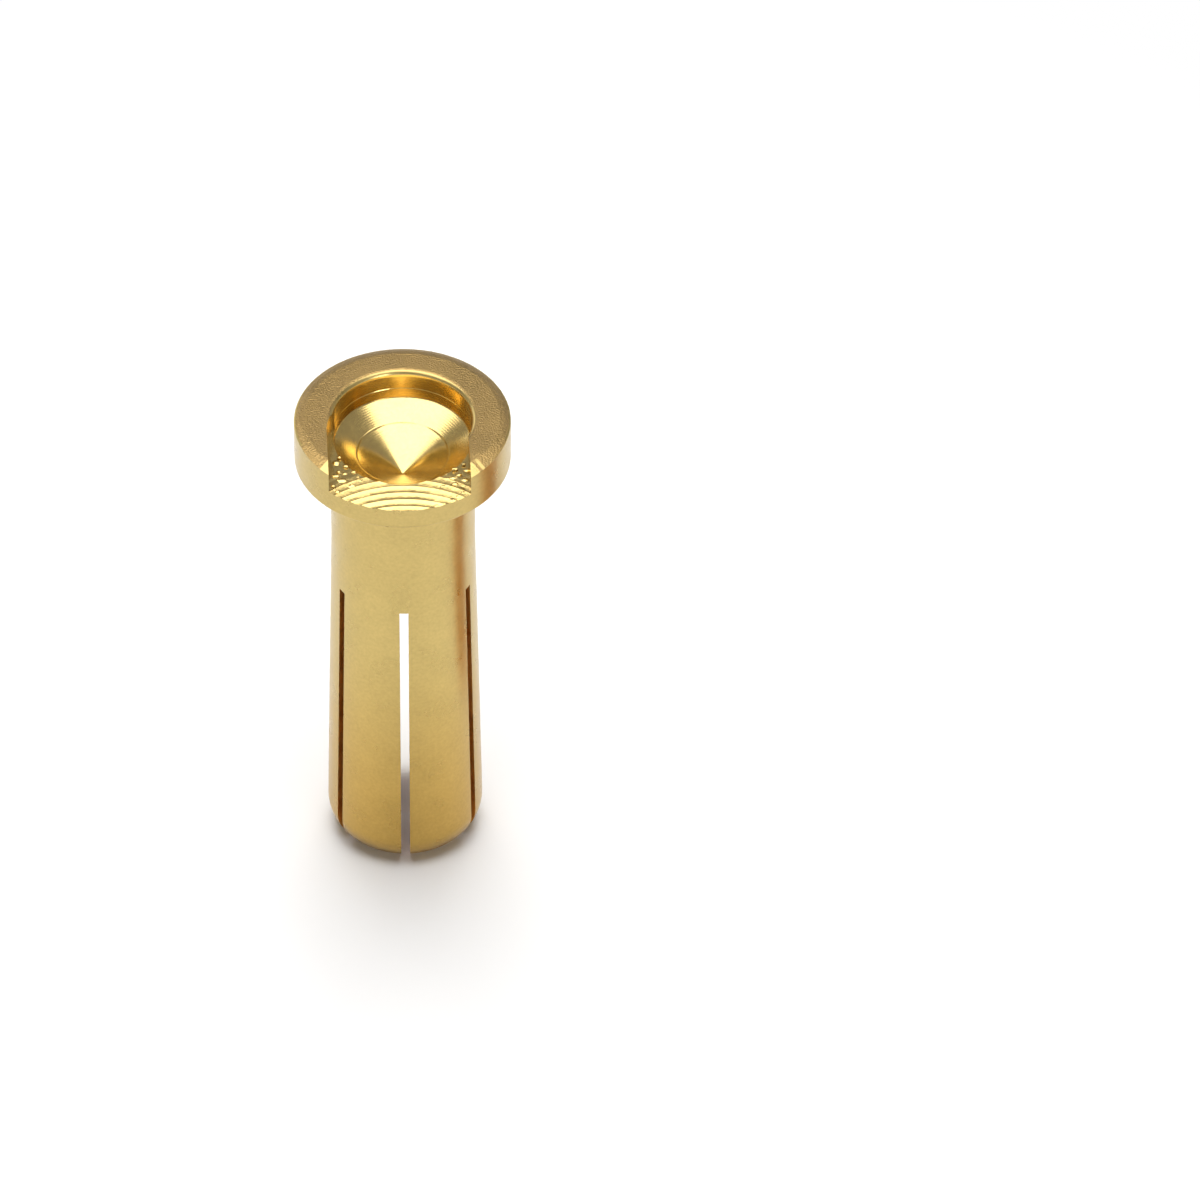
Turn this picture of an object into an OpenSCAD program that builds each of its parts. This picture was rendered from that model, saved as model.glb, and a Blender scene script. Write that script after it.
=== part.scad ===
// Male bullet plug for a battery lead, turned from one brass bar and gold plated.
// It stands on its tip: the origin is the centre of the tip's end face, +Z runs up
// the pin to the head, and the wire slot in the head opens towards -Y.

/* [Head] */
// Length from the tip's end face to the top of the head
overall_length = 18; // [16:0.1:24]
// Diameter of the round head
head_d = 7.1; // [6.9:0.05:9]
// Thickness of the head
head_thickness = 1.67; // [1.4:0.01:2.6]
// Radius of the rounded edge round the top of the head
head_top_round = 0.26; // [0.05:0.01:0.35]
// Radius of the small round on the lower edge of the head
head_bottom_round = 0.07; // [0.02:0.01:0.2]

/* [Solder cup] */
// Diameter of the cup that takes the bared wire
cup_d = 4.54; // [3.6:0.02:4.7]
// Depth of the cup's straight wall, down to the drill point
cup_depth = 1.1; // [0.95:0.01:1.4]
// Full angle of the drill point at the bottom of the cup, in degrees
cup_point_angle = 118; // [100:1:150]
// Radius of the rounded edge round the mouth of the cup
cup_mouth_round = 0.2; // [0.05:0.01:0.3]

/* [Wire slot] */
// Width of the slot milled in from the side of the head
wire_slot_width = 4.62; // [3.8:0.02:4.8]
// Depth of the slot's floor below the top of the head
wire_slot_depth = 0.93; // [0.5:0.01:1.2]
// Distance from the pin's axis to the centre of the slot's round end
wire_slot_reach = 0.6; // [0.3:0.05:1.5]
// How far the slot's centreline lies to one side of the pin's axis
wire_slot_offset = 0.19; // [0:0.01:0.25]

/* [Pin] */
// Diameter of the straight root of the pin
root_d = 4.75; // [4.7:0.05:5.1]
// Length of the straight root below the head
root_length = 3.5; // [2.8:0.05:5]
// Diameter of the pin at its widest, where the tip's round begins
widest_d = 5.2; // [5.12:0.02:5.6]
// Radius of the round at the tip
tip_round = 1.25; // [0.6:0.05:1.25]
// Radius of the fillet between the root and the head
root_fillet = 0.12; // [0.05:0.01:0.25]

/* [Spring fingers] */
// Number of saw cuts across the pin; each cut makes two slots
saw_cuts = 3; // [2:1:4]
// Width of each saw cut
saw_width = 0.3; // [0.2:0.01:0.5]
// Distance from the tip to where a saw cut ends at the pin's surface
saw_length = 11.5; // [8:0.1:11.6]
// Diameter of the slitting saw, which leaves the curved end of each cut
saw_d = 40; // [26:1:60]
// Diameter of the hole up the middle of the pin
bore_d = 2; // [1:0.05:2.2]
// Depth of that hole's straight wall
bore_depth = 12.4; // [12:0.1:13.4]

/* [Hidden] */
$fn = 120;
cut_clear = 1; // how far a cutting shape runs past the face it opens
head_r = head_d / 2;
cup_r = cup_d / 2;
root_r = root_d / 2;
tip_face_r = widest_d / 2 - tip_round;
head_bottom_z = overall_length - head_thickness;
flare_top_z = head_bottom_z - root_length;
cup_floor_z = overall_length - cup_depth;
slot_floor_z = overall_length - wire_slot_depth;

// Height of a drill point of radius r, at the cup's point angle
function point_height(r) = r / tan(cup_point_angle / 2);

// Where the line from [x, z] touches the tip's round, on the outer side
function touch(x, z) =
    let (dx = x - tip_face_r, dz = z - tip_round,
         a = atan2(dz, dx) - acos(tip_round / norm([dx, dz])))
    [tip_face_r + tip_round * cos(a), tip_round + tip_round * sin(a)];

// The half outline of the head: a disc with its two outer edges rounded
module head_outline() {
    translate([0, head_bottom_z + head_bottom_round])
        square([head_r, head_thickness - head_bottom_round - head_top_round]);
    translate([0, head_bottom_z]) square([head_r - head_bottom_round, head_thickness - head_top_round]);
    translate([0, head_bottom_z + head_bottom_round])
        square([head_r - head_top_round, head_thickness - head_bottom_round]);
    translate([head_r - head_top_round, overall_length - head_top_round]) circle(r = head_top_round);
    translate([head_r - head_bottom_round, head_bottom_z + head_bottom_round]) circle(r = head_bottom_round);
}

// The half outline of the pin: straight root, slight flare and round tip
module pin_outline() {
    polygon([[0, 0], [tip_face_r, 0], [tip_face_r, tip_round], touch(root_r, flare_top_z),
             [root_r, flare_top_z], [root_r, head_bottom_z + root_fillet], [0, head_bottom_z + root_fillet]]);
    intersection() {
        translate([tip_face_r, tip_round]) circle(r = tip_round);
        square([widest_d, 2 * tip_round]);
    }
}

// The small fillet in the corner between the root and the head
module fillet_outline() {
    difference() {
        translate([root_r - root_fillet, head_bottom_z - root_fillet]) square(2 * root_fillet);
        translate([root_r + root_fillet, head_bottom_z - root_fillet]) circle(r = root_fillet);
    }
}

// The half outline of the cup: straight wall, drill point and rounded mouth
module cup_outline() {
    translate([0, cup_floor_z]) square([cup_r, cup_depth + cut_clear]);
    polygon([[0, cup_floor_z - point_height(cup_r)], [cup_r, cup_floor_z], [0, cup_floor_z]]);
    difference() {
        translate([0, overall_length - cup_mouth_round])
            square([cup_r + cup_mouth_round, cup_mouth_round + cut_clear]);
        translate([cup_r + cup_mouth_round, overall_length - cup_mouth_round]) circle(r = cup_mouth_round);
    }
}

// The half outline of the hole up the pin, with its own drill point
module bore_outline() {
    bore_r = bore_d / 2;
    translate([0, -cut_clear]) square([bore_r, bore_depth + cut_clear]);
    polygon([[0, bore_depth], [bore_r, bore_depth], [0, bore_depth + point_height(bore_r)]]);
}

// The slot that lets the wire lie in from the side: an end mill's path, round at its inner end
module wire_slot() {
    translate([-wire_slot_offset, -wire_slot_reach, slot_floor_z]) {
        cylinder(d = wire_slot_width, h = wire_slot_depth + cut_clear);
        translate([-wire_slot_width / 2, -head_r, 0])
            cube([wire_slot_width, head_r, wire_slot_depth + cut_clear]);
    }
}

// One saw cut right across the pin: the rim of the slitting saw, fed in from the tip
module saw_cut() {
    saw_r = saw_d / 2;
    saw_centre_z = saw_length - sqrt(saw_r * saw_r - root_r * root_r);
    rotate([90, 0, 90]) linear_extrude(height = saw_width, center = true)
        intersection() {
            translate([0, saw_centre_z]) circle(r = saw_r);
            translate([-widest_d / 2 - cut_clear, -cut_clear])
                square([widest_d + 2 * cut_clear, saw_length + 2 * cut_clear]);
        }
}

module bullet_plug() {
    color("goldenrod")
    difference() {
        rotate_extrude() {
            head_outline();
            pin_outline();
            fillet_outline();
        }
        rotate_extrude() cup_outline();
        rotate_extrude() bore_outline();
        wire_slot();
        for (i = [0 : saw_cuts - 1]) rotate(i * 180 / saw_cuts) saw_cut();
    }
}

bullet_plug();
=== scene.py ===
"""Gold battery lead connector: a turned, sawn and plated bullet plug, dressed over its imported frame.

The plug stands on its tip at the origin with +Z up to the cupped head, and the wire slot opens to -Y.
Every piece is worked at one unit to the millimetre, as on a drawing, and brought to metres when it is done.
"""
import math

import bpy
from bpy.props import FloatProperty, FloatVectorProperty, IntProperty, PointerProperty
from mathutils import Matrix, Vector

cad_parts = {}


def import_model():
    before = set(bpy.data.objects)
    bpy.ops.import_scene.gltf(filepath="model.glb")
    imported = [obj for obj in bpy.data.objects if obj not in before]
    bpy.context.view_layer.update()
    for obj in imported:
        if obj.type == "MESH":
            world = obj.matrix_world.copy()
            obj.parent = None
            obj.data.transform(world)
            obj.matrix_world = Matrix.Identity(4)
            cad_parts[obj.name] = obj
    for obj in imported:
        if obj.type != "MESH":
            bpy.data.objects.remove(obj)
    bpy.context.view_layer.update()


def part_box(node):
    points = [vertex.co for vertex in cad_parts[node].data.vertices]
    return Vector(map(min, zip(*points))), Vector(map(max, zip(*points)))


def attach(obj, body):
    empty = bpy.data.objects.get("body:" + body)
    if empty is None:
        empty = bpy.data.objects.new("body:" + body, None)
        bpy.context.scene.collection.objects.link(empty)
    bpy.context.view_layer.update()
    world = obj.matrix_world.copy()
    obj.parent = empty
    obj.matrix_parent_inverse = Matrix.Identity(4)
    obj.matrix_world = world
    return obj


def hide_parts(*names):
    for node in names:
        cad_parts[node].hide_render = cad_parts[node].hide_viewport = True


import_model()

bl_info = {
    "name": "Bullet Plug",
    "version": (1, 0, 0),
    "blender": (4, 5, 0),
    "location": "3D View > Sidebar > Bullet Plug",
    "description": "Builds the gold plated bullet plug and the stage that it stands on",
    "category": "Add Mesh",
}

MM = 0.001  # one millimetre in metres
LOW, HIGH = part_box("bullet_plug")
TURN_STEPS = 192  # flats round every turned form
SMOOTH_BELOW = math.radians(28)  # edges flatter than this shade smooth

DRIFT_SIZE, MOTTLE_SIZE = 0.9, 0.11  # millimetres, of the slow and the quick changes in the plate's colour
TIP_SHADE_FROM, TIP_SHADE_TO = 11, 1.5  # millimetres up the pin, between which it darkens to the tip colour, a painted shade for the shadowed floor that the lower pin reflects

PAPER_RADIUS = 6  # metres, so that the paper fills every view
PAPER_GLOW = 0.07  # what the paper adds to the light that falls on it
WHITE_FROM, WHITE_TO = 22, 50  # millimetres from the axis, between which the paper turns plain white
SWEEP_FROM, SWEEP_TO = 0.10, 0.27  # heights on the unit sphere, between which the room gets dimmer
LOW_ROOM, HIGH_ROOM, DULL_ROOM = 0.9, 0.36, 0.08  # levels off the plate, low and high, and on matt things

CAMERA_PLACE = (-8.4394, -244.7313, 234.4101)  # millimetres
CAMERA_SWING, CAMERA_DROP, CAMERA_ROLL = -3.5, 42.5129, 0.5817  # degrees


# ------------------------------------------------------------------ colours and nodes


def linear(hex_colour):
    """An sRGB hex value as the four linear numbers that a colour socket takes."""
    parts = [int(hex_colour[i : i + 2], 16) / 255 for i in (1, 3, 5)]
    return [c / 12.92 if c <= 0.04045 else ((c + 0.055) / 1.055) ** 2.4 for c in parts] + [1.0]


def add_node(tree, kind, inputs=(), **settings):
    """Adds a node, sets what it is told, and gives each input its value or its link."""
    new = tree.nodes.new(kind)
    for key, value in settings.items():
        setattr(new, key, value)
    for key, value in dict(inputs).items():
        if isinstance(value, bpy.types.NodeSocket):
            tree.links.new(value, new.inputs[key])
        else:
            new.inputs[key].default_value = value
    return new


def blank_material(name):
    """An empty node material and its tree."""
    material = bpy.data.materials.new(name)
    material.use_nodes = True
    material.node_tree.nodes.clear()
    return material, material.node_tree


# ------------------------------------------------------------------ settings


class PlugSizes(bpy.types.PropertyGroup):
    """Sizes of the plug, in millimetres, and the angle of its drill points in degrees."""

    length: FloatProperty(name="Length", description="Overall length", default=(HIGH[2] - LOW[2]) / MM)
    head_d: FloatProperty(name="Head", description="Diameter of the head", default=(HIGH[0] - LOW[0]) / MM)
    head_thickness: FloatProperty(name="Head thickness", description="Thickness of the head", default=1.67)
    head_top_round: FloatProperty(name="Top round", description="Round on the head's top edge", default=0.26)
    head_bottom_round: FloatProperty(name="Bottom round", description="Round on its lower edge", default=0.07)
    cup_d: FloatProperty(name="Cup", description="Diameter of the solder cup", default=4.54)
    cup_depth: FloatProperty(name="Cup depth", description="Depth of the cup's wall", default=1.1)
    drill_point: FloatProperty(name="Drill point", description="Full angle of the drill points, degrees", default=118)
    cup_mouth_round: FloatProperty(name="Cup mouth", description="Round on the cup's mouth", default=0.2)
    slot_width: FloatProperty(name="Wire slot", description="Width of the wire slot", default=4.62)
    slot_depth: FloatProperty(name="Slot depth", description="Depth of the wire slot", default=0.93)
    slot_reach: FloatProperty(name="Slot reach", description="From the axis to the end of its straight walls", default=0.6)
    slot_offset: FloatProperty(name="Slot offset", description="From the axis to the slot's centreline", default=0.19)
    root_d: FloatProperty(name="Root", description="Diameter of the pin under the head", default=4.75)
    root_length: FloatProperty(name="Root length", description="Straight length under the head", default=3.5)
    root_fillet: FloatProperty(name="Root fillet", description="Fillet between the pin and the head", default=0.12)
    widest_d: FloatProperty(name="Widest", description="Diameter of the sprung tip", default=5.2)
    tip_round: FloatProperty(name="Tip round", description="Round of the tip", default=1.25)
    saw_cuts: IntProperty(name="Saw cuts", description="Cuts right across the pin", default=3)
    saw_width: FloatProperty(name="Saw width", description="Width of a saw cut", default=0.3)
    saw_length: FloatProperty(name="Saw length", description="Length of a saw cut", default=11.5)
    saw_d: FloatProperty(name="Saw", description="Diameter of the slitting saw", default=40)
    bore_d: FloatProperty(name="Bore", description="Diameter of the hole up the pin", default=2)
    bore_depth: FloatProperty(name="Bore depth", description="Depth of the hole up the pin", default=12.4)


def colour_setting(name, about, value):
    """A colour that the panel can change, from its sRGB hex value."""
    return FloatVectorProperty(
        name=name, description=about, subtype="COLOR", size=4, min=0, max=1, default=linear(value)
    )


class PlateColours(bpy.types.PropertyGroup):
    """Colours of the gold plate, one for each kind of cut, with painted shade in the tip and faced colours and
    painted light in the sawn one.
    """

    turned: colour_setting("Turned", "Gold on the turned outside", "#BFA86A")
    # the tip colour is darker and more saturated than the turned gold: painted shade for the shadowed floor that the
    # lower pin reflects
    tip: colour_setting("Tip", "Gold on the turned outside near the tip", "#B99852")
    # the faced colour is darker than the turned gold: painted shade on the head's flat top
    faced: colour_setting("Faced", "Gold on the flat top of the head", "#A98C58")
    drilled: colour_setting("Drilled", "Gold in the solder cup", "#D8BC78")
    milled: colour_setting("Milled", "Gold on the floor and walls of the wire slot", "#D8BC78")
    # the sawn colour is lighter and more orange than the turned gold: painted light lifting the shade in the saw cuts
    # and the bore
    sawn: colour_setting("Sawn", "Gold inside the bore and the saw cuts", "#DFA552")


# ------------------------------------------------------------------ tools of the bench


def clear_selection():
    """Nothing selected, object mode."""
    if bpy.context.object and bpy.context.object.mode != "OBJECT":
        bpy.ops.object.mode_set(mode="OBJECT")
    bpy.ops.object.select_all(action="DESELECT")


def work_on(piece):
    """Only this piece selected and active."""
    clear_selection()
    piece.select_set(True)
    bpy.context.view_layer.objects.active = piece


def named(name):
    """The object just made, renamed."""
    made = bpy.context.object
    made.name = made.data.name = name
    return made


def apply(piece, kind, **settings):
    """Adds a modifier with its settings and applies it."""
    work_on(piece)
    modifier = piece.modifiers.new(kind.title(), kind)
    for key, value in settings.items():
        setattr(modifier, key, value)
    bpy.ops.object.modifier_apply(modifier=modifier.name)


def turned(name, outline, centre=(0, 0), steps=TURN_STEPS):
    """A turned body: a closed outline of radius and height, spun right round its axis."""
    clear_selection()
    x, y = centre
    bpy.ops.mesh.primitive_plane_add(size=0.01, location=(x + outline[0][0], y, outline[0][1]))
    made = named(name)
    bpy.ops.object.transform_apply(location=True, rotation=True, scale=True)
    bpy.ops.object.mode_set(mode="EDIT")
    bpy.ops.mesh.select_all(action="SELECT")
    bpy.ops.mesh.merge(type="CENTER")
    for (r0, z0), (r1, z1) in zip(outline, outline[1:]):
        bpy.ops.mesh.extrude_region_move(TRANSFORM_OT_translate={"value": (r1 - r0, 0, z1 - z0)})
    bpy.ops.mesh.select_all(action="SELECT")
    bpy.ops.mesh.spin(steps=steps, angle=2 * math.pi, center=(x, y, 0), axis=(0, 0, 1))
    bpy.ops.mesh.select_all(action="SELECT")
    bpy.ops.mesh.remove_doubles(threshold=0.0004)
    bpy.ops.mesh.normals_make_consistent(inside=False)
    bpy.ops.object.mode_set(mode="OBJECT")
    return made


def cut(piece, cutters, operation="DIFFERENCE"):
    """Cuts the piece with a set of closed cutters, which are used up."""
    group = bpy.data.collections.new("cutters")
    bpy.context.scene.collection.children.link(group)
    for cutter in cutters:
        group.objects.link(cutter)
    apply(piece, "BOOLEAN", operation=operation, operand_type="COLLECTION", collection=group, solver="EXACT")
    for cutter in cutters:
        bpy.data.objects.remove(cutter, do_unlink=True)
    bpy.data.collections.remove(group)


def select_points(piece, wanted):
    """Goes into edit mode with only the wanted points of the piece selected."""
    work_on(piece)
    bpy.ops.object.mode_set(mode="EDIT")
    bpy.ops.mesh.select_all(action="DESELECT")
    bpy.ops.object.mode_set(mode="OBJECT")
    for vertex in piece.data.vertices:
        vertex.select = wanted(vertex.co)
    bpy.ops.object.mode_set(mode="EDIT")


def arc(r, z, size, start, end, count):
    """Points of a round in an outline, from one angle to another in degrees."""
    angles = [math.radians(start + (end - start) * i / count) for i in range(count + 1)]
    return [(r + size * math.cos(a), z + size * math.sin(a)) for a in angles]


def held(outline, hold=0.025):
    """The outline with a point just inside each end of its long runs, so that flats shade flat."""
    points = [outline[0]]
    for (r0, z0), (r1, z1) in zip(outline, outline[1:]):
        run = math.hypot(r1 - r0, z1 - z0)
        if run > 4 * hold:
            for share in (hold / run, 1 - hold / run):
                points.append((r0 + (r1 - r0) * share, z0 + (z1 - z0) * share))
        points.append((r1, z1))
    return points


# ------------------------------------------------------------------ the plug's outline


def plug_outline(s):
    """Half the plug's section, from the point of its bore round the outside to the point of its cup."""
    slope = math.tan(math.radians(s.drill_point / 2))
    bore_r, cup_r, root_r, head_r = s.bore_d / 2, s.cup_d / 2, s.root_d / 2, s.head_d / 2
    face_r = s.widest_d / 2 - s.tip_round
    under = s.length - s.head_thickness
    flare_top = under - s.root_length
    floor = s.length - s.cup_depth
    away = math.hypot(root_r - face_r, flare_top - s.tip_round)
    touch = math.atan2(flare_top - s.tip_round, root_r - face_r) - math.acos(s.tip_round / away)
    ring_r, wall_line = 1.5, 17.28  # the tool ring on the drill point, and the tool line on the cup's wall
    line_depth = 0.012  # how far the tool line stands in from the wall above it
    edge_r, drop = 0.05, 0.095  # the small round outside the head's shallow bevel, and the bevel's fall
    bevel_r = head_r - edge_r

    def cone_z(r):
        return floor - (cup_r - r) / slope

    points = [(0, s.bore_depth + bore_r / slope), (bore_r, s.bore_depth), (bore_r, 0.05), (bore_r + 0.05, 0)]
    points += arc(face_r, s.tip_round, s.tip_round, -90, math.degrees(touch), 18)
    points += [(root_r, flare_top)]
    points += arc(root_r + s.root_fillet, under - s.root_fillet, s.root_fillet, 180, 90, 8)
    points += arc(head_r - s.head_bottom_round, under + s.head_bottom_round, s.head_bottom_round, -90, 0, 6)
    points += arc(bevel_r, s.length - drop - edge_r, edge_r, 0, 72, 5)
    points += [(bevel_r - 0.15, s.length - 0.35 * drop), (bevel_r - s.head_top_round - 0.04, s.length)]
    points += arc(cup_r + s.cup_mouth_round, s.length - s.cup_mouth_round, s.cup_mouth_round, 90, 180, 10)
    points += [(cup_r, wall_line + 0.02), (cup_r - line_depth, wall_line), (cup_r - line_depth, floor + 0.02)]
    points += [(cup_r - 0.03, floor - 0.005)]
    for step_r, rise in ((ring_r + 0.04, 0.0), (ring_r + 0.02, 0.007), (ring_r, 0.0), (ring_r - 0.03, -0.005)):
        points.append((step_r, cone_z(step_r) + rise))
    points += [(ring_r - 0.08, cone_z(ring_r - 0.08)), (0.06, cone_z(0.06)), (0, cone_z(0.02))]
    return held(points)


# ------------------------------------------------------------------ marks of the cuts, in millimetres

FIRST_SAW_DRIFT = -2.0  # degrees that the first saw cut is off the wire slot
RIDGE_R = 3.8  # of each ridge on the wire slot's floor, seen from above
RIDGE_STEPS = 240  # flats round a ridge

# Where each ridge crosses the slot's centreline, its height and the run of its front slope
RIDGES = (
    (-1.02, 0.020, 0.31),
    (-1.34, 0.025, 0.31),
    (-1.65, 0.035, 0.31),
    (-1.97, 0.040, 0.31),
    (-2.29, 0.045, 0.31),
    (-2.61, 0.045, 0.32),
    (-2.945, 0.050, 0.31),
    (-3.27, 0.045, 0.34),
)

# Each burr's place, its rise above the slot's floor and its size
BURRS = (
    (-2.20, -1.10, 0.00, 0.13),
    (-2.05, -1.95, -0.02, 0.15),
    (-1.75, -2.25, -0.03, 0.13),
    (-2.25, -1.75, 0.02, 0.11),
    (1.95, -2.10, -0.02, 0.13),
    (1.80, -2.55, -0.02, 0.12),
    (2.05, -1.65, 0.00, 0.11),
    (1.55, -2.00, -0.02, 0.11),
    (-2.08, -0.86, 0.05, 0.09),
    (-1.90, -1.28, 0.02, 0.09),
    (-2.13, -1.56, 0.02, 0.08),
    (-1.65, -1.56, 0.00, 0.09),
    (-1.52, -1.81, 0.00, 0.06),
    (-1.94, -1.64, 0.00, 0.08),
    (-1.43, -2.01, 0.00, 0.05),
    (-2.23, -2.51, 0.00, 0.08),
    (-2.35, -2.24, 0.03, 0.07),
    (1.65, -1.62, 0.05, 0.09),
    (1.77, -1.88, 0.02, 0.09),
    (1.40, -2.04, 0.00, 0.08),
    (1.62, -2.30, 0.00, 0.10),
    (1.22, -2.42, 0.00, 0.08),
    (1.95, -1.39, 0.05, 0.06),
    (0.99, -3.34, 0.00, 0.08),
    (1.25, -3.25, 0.00, 0.08),
    (1.49, -3.07, 0.00, 0.09),
    (1.69, -2.93, 0.00, 0.08),
    (1.86, -2.75, 0.00, 0.07),
    (2.32, -1.90, 0.10, 0.07),
    (1.44, -2.73, 0.00, 0.07),
)


# ------------------------------------------------------------------ operators


class PLUG_OT_turn_plug(bpy.types.Operator):
    """Turn, mill and saw the bullet plug"""

    bl_idname = "plug.turn_plug"
    bl_label = "Bullet plug"

    def execute(self, context):
        s = context.scene.plug_sizes
        plug = turned("gold_bullet_plug", plug_outline(s))
        cutters = [wire_slot(s), corner_cutter(s)]
        for i in range(s.saw_cuts):
            drift = FIRST_SAW_DRIFT if i == 0 else 0
            cutters.append(saw_cut(s, 180 * i / s.saw_cuts + drift))
        cut(plug, cutters)
        work_on(plug)
        dress(plug, s)
        plug.scale = (MM, MM, MM)
        bpy.ops.object.transform_apply(location=True, rotation=True, scale=True)
        bpy.ops.object.shade_smooth_by_angle(angle=SMOOTH_BELOW)
        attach(plug, "root")
        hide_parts("bullet_plug")
        return {"FINISHED"}


def wire_slot(s):
    """The end mill's path for the wire slot, with the ridges that its steps leave on the floor."""
    floor, mill_r = s.length - s.slot_depth, s.slot_width / 2
    clear_selection()
    bpy.ops.mesh.primitive_cylinder_add(
        vertices=256, radius=mill_r, depth=2, location=(-s.slot_offset, -s.slot_reach, floor + 1)
    )
    path = named("wire_slot_cutter")
    bpy.ops.object.transform_apply(location=True, rotation=True, scale=True)
    select_points(path, lambda co: co.y < -s.slot_reach - 0.001)
    bpy.ops.transform.translate(value=(0, -4, 0))
    bpy.ops.object.mode_set(mode="OBJECT")
    ridges = []
    for i, (y, height, run) in enumerate(RIDGES):
        section = [
            (RIDGE_R, floor - 0.1),
            (RIDGE_R, floor),
            (RIDGE_R - 0.07, floor + height),
            (RIDGE_R - 0.19, floor + 0.35 * height),
            (RIDGE_R - run, floor),
            (RIDGE_R - run, floor - 0.1),
        ]
        centre = (-s.slot_offset, y - RIDGE_R)
        ridges.append(turned(f"ridge_{i}", section + section[:1], centre, RIDGE_STEPS))
    # the ridges and crumbs come off the cutter, so that they stay on the slot's floor
    cut(path, ridges + [burr(i, *place, floor) for i, place in enumerate(BURRS)])
    return path


def corner_cutter(s):
    """A wide chamfering cone set off to the back, so that it trims the head's edge by the slot's corners only."""
    inner, outer, set_off = s.head_d / 2 - 0.13, s.head_d / 2 + 0.65, 0.38
    fall, above = s.length - 0.331, s.length + 0.6
    section = [(inner, s.length), (outer, fall), (outer, above), (inner, above)]
    return turned("corner_cutter", section + section[:1], (0, set_off))


def burr(number, x, y, rise, size, floor):
    """A rolled crumb of metal that the mill has left at the slot's edge."""
    clear_selection()
    bpy.ops.mesh.primitive_ico_sphere_add(subdivisions=2, radius=size, location=(x, y, floor + rise))
    crumb = named(f"burr_{number}")
    bpy.ops.object.mode_set(mode="EDIT")
    bpy.ops.mesh.select_all(action="SELECT")
    bpy.ops.transform.resize(value=(1.3, 0.95, 0.55))
    bpy.ops.transform.vertex_random(offset=0.3 * size, seed=number)
    bpy.ops.mesh.vertices_smooth(factor=0.5)
    bpy.ops.object.mode_set(mode="OBJECT")
    bpy.ops.object.transform_apply(location=True, rotation=True, scale=True)
    return crumb


def saw_cut(s, turn):
    """One cut right across the pin: the rim of the slitting saw, fed in from the tip."""
    saw_r = s.saw_d / 2
    centre_z = s.saw_length - math.sqrt(saw_r**2 - (s.root_d / 2) ** 2)
    clear_selection()
    bpy.ops.mesh.primitive_cylinder_add(
        vertices=720, radius=saw_r, depth=s.saw_width, location=(0, 0, centre_z),
        rotation=(0, math.pi / 2, math.radians(turn)),
    )
    saw = named(f"saw_{turn:.0f}")
    bpy.ops.object.transform_apply(location=True, rotation=True, scale=True)
    return saw


def dress(plug, s):
    """Gives each face of the plug the finish of the cut that made it, with the painted shade and light that some of
    these finishes carry.
    """
    gold = bpy.context.scene.plug_colours
    for finish in (turned_plate, faced_plate_painted_shade, drilled_plate, milled_plate, sawn_plate_painted_light):
        plug.data.materials.append(finish(gold))
    outside, faced, drilled, milled, sawn = range(5)
    floor, cup_r, bore_r = s.length - s.slot_depth, s.cup_d / 2, s.bore_d / 2
    web = (s.bore_depth + s.length - s.cup_depth) / 2  # a height between the bore's end and the cup
    for face in plug.data.polygons:
        c, n = face.center, face.normal
        r = math.hypot(c.x, c.y)
        outward = (c.x * n.x + c.y * n.y) / max(r, 1e-6)
        in_slot = c.z > floor - 0.02 and c.y < 0.5 and abs(c.x + s.slot_offset) < s.slot_width / 2 + 0.001
        index = outside
        if r < bore_r + 0.01 and c.z < web:
            index = sawn
        elif c.z < s.saw_length + 0.3 and outward < 0.6 and n.z > -0.99 and r < s.widest_d / 2 - 0.001:
            on_tip = c.z < s.tip_round and n.z < -0.05
            index = outside if on_tip else sawn
        elif in_slot and (c.z < floor + 0.06 and n.z > 0.4 or abs(n.x) > 0.9 and r > cup_r + 0.05):
            index = milled
        elif r < cup_r + 0.02 and c.z > web:
            index = drilled
        elif n.z > 0.9 and c.z > s.length - 0.09:
            index = faced
        face.material_index = index


# ------------------------------------------------------------------ finishes


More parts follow.
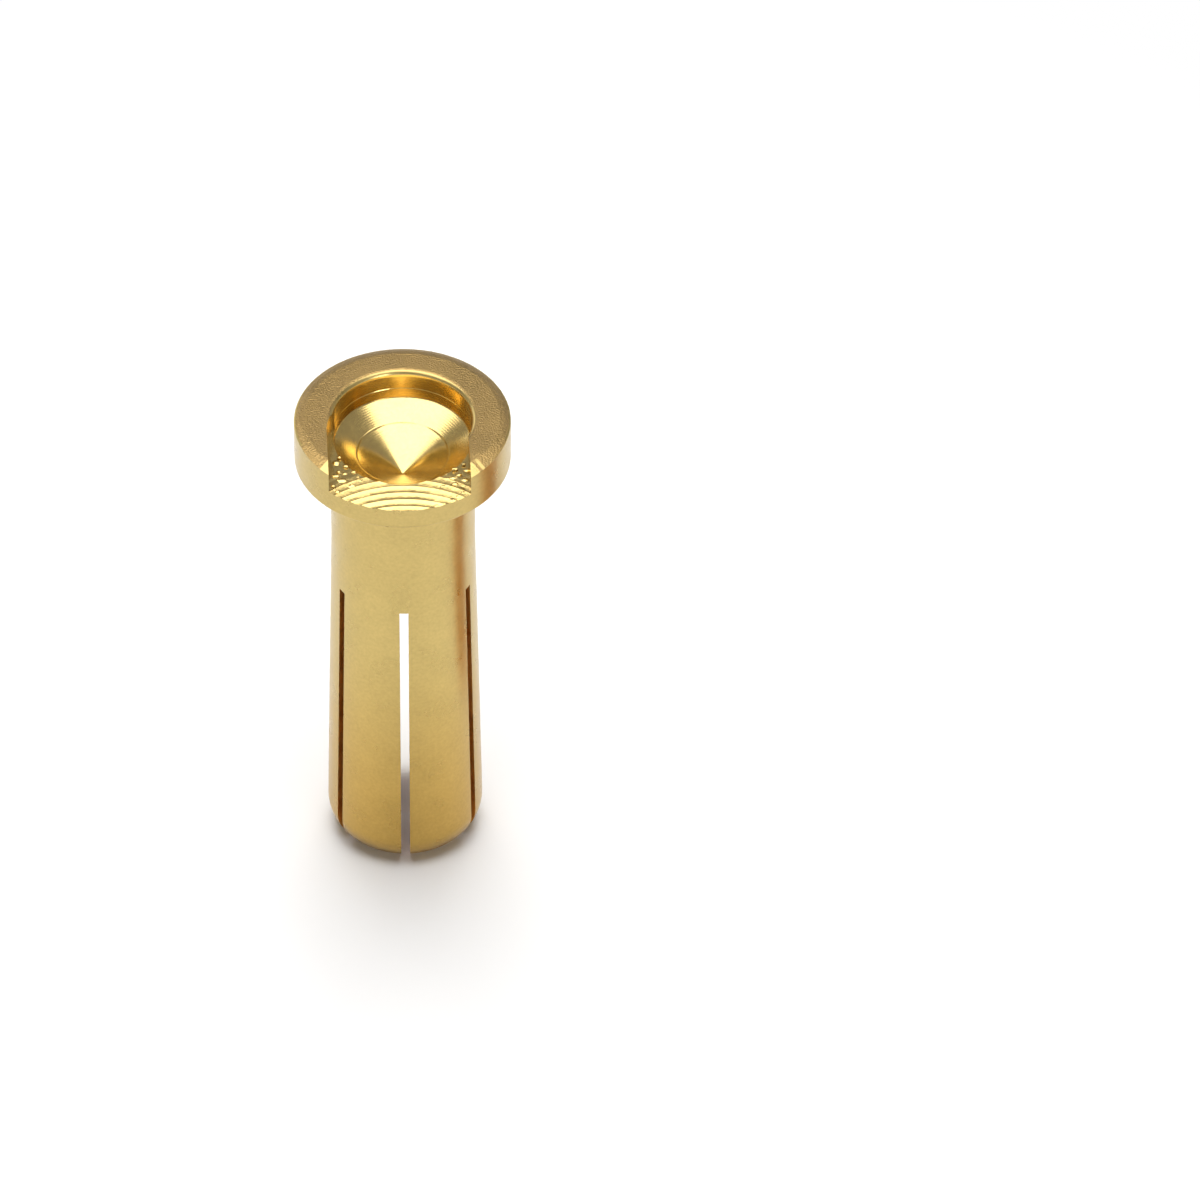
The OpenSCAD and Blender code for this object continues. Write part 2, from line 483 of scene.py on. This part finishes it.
def plate(name, colour, roughness, bump_height, bump_nodes, stretch=0, tip_shade_colour=None):
    """Gold plate over brass: a metal whose colour and gloss drift a little, with the marks of its cut, and with a
    painted shade darkening it towards the tip where a tip colour is given.
    """
    material, tree = blank_material(name)
    place = add_node(tree, "ShaderNodeTexCoord").outputs["Object"]
    drift = add_node(tree, "ShaderNodeTexNoise", {"Vector": place, "Scale": 1 / (DRIFT_SIZE * MM), "Detail": 4})
    mottle = add_node(tree, "ShaderNodeTexNoise", {"Vector": place, "Scale": 1 / (MOTTLE_SIZE * MM), "Detail": 2})
    uneven = add_node(tree, "ShaderNodeMath", {0: drift.outputs["Fac"], 1: mottle.outputs["Fac"]})
    level = add_node(
        tree, "ShaderNodeMapRange",
        {"Value": uneven.outputs[0], "From Min": 0.6, "From Max": 1.4, "To Min": 0.9, "To Max": 1.1},
    )
    body = add_node(
        tree, "ShaderNodeMix", {"Factor": 0.0, "A": colour, "B": tip_shade_colour or colour}, data_type="RGBA"
    )
    # painted shade: the colour darkens towards the tip, for the shadowed floor that the lower pin reflects
    if tip_shade_colour:
        height = add_node(tree, "ShaderNodeSeparateXYZ", {"Vector": place}).outputs["Z"]
        low = add_node(
            tree, "ShaderNodeMapRange",
            {"Value": height, "From Min": TIP_SHADE_FROM * MM, "From Max": TIP_SHADE_TO * MM},
            interpolation_type="SMOOTHSTEP",
        )
        tree.links.new(low.outputs["Result"], body.inputs["Factor"])
    tint = add_node(
        tree, "ShaderNodeVectorMath", {0: body.outputs[2], 3: level.outputs["Result"]}, operation="SCALE"
    )
    gloss = add_node(
        tree, "ShaderNodeMapRange",
        {
            "Value": drift.outputs["Fac"], "From Min": 0.3, "From Max": 0.7,
            "To Min": roughness * 0.85, "To Max": roughness * 1.15,
        },
    )
    marks = bump_nodes(tree, place)
    bump = add_node(tree, "ShaderNodeBump", {"Height": marks, "Strength": 1.0, "Distance": bump_height * MM})
    shader = add_node(
        tree, "ShaderNodeBsdfPrincipled",
        {
            "Base Color": tint.outputs[0], "Metallic": 1.0,
            "Roughness": gloss.outputs["Result"], "Normal": bump.outputs["Normal"],
        },
    )
    if stretch:
        around = add_node(tree, "ShaderNodeTangent", direction_type="RADIAL", axis="Z")
        tree.links.new(around.outputs["Tangent"], shader.inputs["Tangent"])
        shader.inputs["Anisotropic"].default_value = stretch
        shader.inputs["Anisotropic Rotation"].default_value = 0.25
    add_node(tree, "ShaderNodeOutputMaterial", {"Surface": shader.outputs["BSDF"]})
    return material


def grain(size):
    """Fine grain with grains of this size in millimetres."""

    def nodes(tree, place):
        noise = add_node(tree, "ShaderNodeTexNoise", {"Vector": place, "Scale": 1 / (size * MM), "Detail": 3})
        return noise.outputs["Fac"]

    return nodes


def rings(pitch, wander):
    """Tool lines round the axis, this far apart in millimetres."""

    scale = 2 * math.pi / 20 / (pitch * MM)  # a wave's bands are a twentieth of two pi apart at scale 1

    def nodes(tree, place):
        wave = add_node(
            tree, "ShaderNodeTexWave",
            {"Vector": place, "Scale": scale, "Distortion": wander, "Detail": 3, "Detail Scale": 2},
            wave_type="RINGS", rings_direction="Z",
        )
        return wave.outputs["Fac"]

    return nodes


def turned_plate(gold):
    # Gold plate on turned brass: satin, from fine turning lines that the plate has softened, and darker towards the
    # tip from a painted shade of the shadowed floor that it reflects
    return plate("gold_plate_turned_tip_shade", gold.turned, 0.30, 0.0012, grain(0.12), tip_shade_colour=gold.tip)


def faced_plate_painted_shade(gold):
    # Gold plate on a faced end: matt and grainy, in a darker gold than the sides, a painted shade for the dim room
    # that the flat top reflects
    return plate("gold_plate_faced_painted_shade", gold.faced, 0.33, 0.028, grain(0.06))


def drilled_plate(gold):
    # Gold plate in a drilled cup: glossy, with fine rings round the axis
    return plate("gold_plate_drilled", gold.drilled, 0.19, 0.0007, rings(0.07, 1.5), 0.6)


def milled_plate(gold):
    # Gold plate on a milled floor: glossy between its ridges
    return plate("gold_plate_milled", gold.milled, 0.22, 0.008, grain(0.25))


def sawn_plate_painted_light(gold):
    # Gold deep in the saw cuts and the bore: dull, in a lighter and more orange gold than outside, painted light that
    # lifts the shade in these narrow cuts
    return plate("gold_plate_sawn_painted_light", gold.sawn, 0.45, 0.004, grain(0.1))


# ------------------------------------------------------------------ the stage


class PLUG_OT_stage(bpy.types.Operator):
    """White floor, soft lamps and the camera"""

    bl_idname = "plug.stage"
    bl_label = "Stage"

    def execute(self, context):
        scene = context.scene
        floor()
        soft_lamps()
        side_card()
        world(scene)
        camera(scene)
        scene.view_settings.view_transform = "Standard"
        return {"FINISHED"}


def seen_in_glass_and_gloss(tree):
    """Two switches: 1 for a ray from the camera, and 1 for a ray off a glossy or clear surface."""
    path = add_node(tree, "ShaderNodeLightPath")
    gloss = add_node(
        tree, "ShaderNodeMath",
        {0: path.outputs["Is Glossy Ray"], 1: path.outputs["Is Transmission Ray"]}, operation="MAXIMUM",
    )
    return path.outputs["Is Camera Ray"], gloss.outputs[0]


def floor():
    """A white sweep of paper, wide enough to fill every view, that keeps the plug's shadow."""
    clear_selection()
    bpy.ops.mesh.primitive_circle_add(vertices=96, radius=PAPER_RADIUS, fill_type="NGON", location=(0, 0, 0))
    paper = named("paper_floor")
    material, tree = blank_material("matt_white_paper")
    eye, gloss = seen_in_glass_and_gloss(tree)
    seen = add_node(tree, "ShaderNodeMath", {0: eye, 1: gloss}, operation="MAXIMUM")
    matt = add_node(tree, "ShaderNodeBsdfDiffuse", {"Color": linear("#EDEDED"), "Roughness": 0.5})
    glow_level = add_node(tree, "ShaderNodeMath", {0: seen.outputs[0], 1: PAPER_GLOW}, operation="MULTIPLY")
    glow = add_node(tree, "ShaderNodeEmission", {"Color": linear("#FFF3E8"), "Strength": glow_level.outputs[0]})
    near = add_node(tree, "ShaderNodeAddShader", {0: matt.outputs[0], 1: glow.outputs[0]})
    far = add_node(tree, "ShaderNodeEmission", {"Color": linear("#FFFFFF"), "Strength": seen.outputs[0]})
    place = add_node(tree, "ShaderNodeTexCoord").outputs["Object"]
    distance = add_node(tree, "ShaderNodeVectorMath", {0: place}, operation="LENGTH")
    fade = add_node(
        tree, "ShaderNodeMapRange",
        {"Value": distance.outputs["Value"], "From Min": WHITE_FROM * MM, "From Max": WHITE_TO * MM},
        interpolation_type="SMOOTHSTEP",
    )
    sweep = add_node(
        tree, "ShaderNodeMixShader", {0: fade.outputs["Result"], 1: near.outputs[0], 2: far.outputs[0]}
    )
    add_node(tree, "ShaderNodeOutputMaterial", {"Surface": sweep.outputs[0]})
    paper.data.materials.append(material)


def lamp(name, place, aim, size, power):
    """A soft white square lamp at a place in millimetres, turned to what it lights."""
    data = bpy.data.lights.new(name, "AREA")
    data.shape, data.size, data.energy = "SQUARE", size * MM, power
    made = bpy.data.objects.new(name, data)
    bpy.context.scene.collection.objects.link(made)
    made.location = Vector(place) * MM
    made.rotation_mode = "QUATERNION"
    made.rotation_quaternion = (Vector(aim) - Vector(place)).to_track_quat("-Z", "Y")
    return made


def soft_lamps():
    """Broad lamps overhead and behind, and two small panels low down."""
    gleam = lamp("overhead_softbox", (-50, -10, 300), (-50, -10, 9), 430, 1.42)
    gleam.data.shape, gleam.data.size_y = "RECTANGLE", 350 * MM
    gleam.visible_diffuse = False  # it shapes the gleams on the plate; the next lamp lights the paper
    spread = lamp("back_softbox", (0, 52, 300), (0, 0, 9), 200, 1.68)
    spread.data.shape, spread.data.size_y = "RECTANGLE", 400 * MM
    spread.visible_glossy = False
    for name, place, size, power in (
        ("back_left_panel", (-240, 300, 95), 190, 0.15),
        ("front_right_panel", (163, -296, 125), 130, 0.26),
    ):
        lamp(name, place, (0, 0, 9), size, power).visible_diffuse = False


def side_card():
    """A narrow amber card at the side, out of the camera's sight, that draws a line down the bright plate."""
    clear_selection()
    away, height = 12.75 * MM, 17 * MM
    bpy.ops.mesh.primitive_cylinder_add(
        vertices=48, radius=2.5 * MM, depth=height, location=(away, 0, height / 2)
    )
    card = named("amber_card")
    material, tree = blank_material("amber_card")
    foil = add_node(
        tree, "ShaderNodeBsdfPrincipled", {"Base Color": linear("#C98A1E"), "Metallic": 1.0, "Roughness": 0.4}
    )
    add_node(tree, "ShaderNodeOutputMaterial", {"Surface": foil.outputs["BSDF"]})
    card.data.materials.append(material)
    card.visible_camera = card.visible_shadow = card.visible_diffuse = False


def world(scene):
    """A white room: white to the camera, and dimmer on everything else."""
    room = bpy.data.worlds.new("white_room")
    room.use_nodes = True
    tree = room.node_tree
    tree.nodes.clear()
    eye, gloss = seen_in_glass_and_gloss(tree)
    # off the plate the room is bright near the floor, where the paper sweeps up, and dimmer above
    way = add_node(tree, "ShaderNodeTexCoord").outputs["Generated"]
    height = add_node(tree, "ShaderNodeSeparateXYZ", {"Vector": way}).outputs["Z"]
    sweep = add_node(
        tree, "ShaderNodeMapRange",
        {"Value": height, "From Min": SWEEP_FROM, "From Max": SWEEP_TO, "To Min": LOW_ROOM, "To Max": HIGH_ROOM},
        interpolation_type="SMOOTHSTEP",
    )
    level = add_node(
        tree, "ShaderNodeMapRange", {"Value": gloss, "To Min": DULL_ROOM, "To Max": sweep.outputs["Result"]}
    )
    strength = add_node(tree, "ShaderNodeMath", {0: eye, 1: level.outputs["Result"]}, operation="MAXIMUM")
    back = add_node(tree, "ShaderNodeBackground", {"Color": linear("#FFFFFF"), "Strength": strength.outputs[0]})
    add_node(tree, "ShaderNodeOutputWorld", {"Surface": back.outputs[0]})
    scene.world = room


def camera(scene):
    """A long lens, 42.5 degrees above the plug and turned a little to its left."""
    data = bpy.data.cameras.new("long_lens")
    data.lens, data.sensor_width = 300, 36
    data.clip_start, data.clip_end = 10 * MM, 20
    made = bpy.data.objects.new("camera", data)
    scene.collection.objects.link(made)
    turn = (
        Matrix.Rotation(math.radians(CAMERA_SWING), 4, "Z")
        @ Matrix.Rotation(math.radians(90 - CAMERA_DROP), 4, "X")
        @ Matrix.Rotation(math.radians(CAMERA_ROLL), 4, "Z")
    )
    made.matrix_world = Matrix.Translation(Vector(CAMERA_PLACE) * MM) @ turn
    scene.camera = made


class PLUG_PT_panel(bpy.types.Panel):
    """Lists the plug's pieces and its stage"""

    bl_idname = "PLUG_PT_panel"
    bl_label = "Bullet Plug"
    bl_space_type = "VIEW_3D"
    bl_region_type = "UI"
    bl_category = "Bullet Plug"

    def draw(self, context):
        column = self.layout.column(align=True)
        for group in (context.scene.plug_sizes, context.scene.plug_colours):
            for key in group.bl_rna.properties.keys():
                if key not in ("rna_type", "name"):
                    column.prop(group, key)
        for operator in OPERATORS:
            column.operator(operator.bl_idname)


OPERATORS = (PLUG_OT_turn_plug, PLUG_OT_stage)
CLASSES = (PlugSizes, PlateColours, *OPERATORS, PLUG_PT_panel)


def register():
    for cls in CLASSES:
        bpy.utils.register_class(cls)
    bpy.types.Scene.plug_sizes = PointerProperty(type=PlugSizes)
    bpy.types.Scene.plug_colours = PointerProperty(type=PlateColours)


def unregister():
    del bpy.types.Scene.plug_colours
    del bpy.types.Scene.plug_sizes
    for cls in reversed(CLASSES):
        bpy.utils.unregister_class(cls)


def main():
    register()
    bpy.ops.plug.turn_plug()
    bpy.ops.plug.stage()


if __name__ == "__main__":
    main()
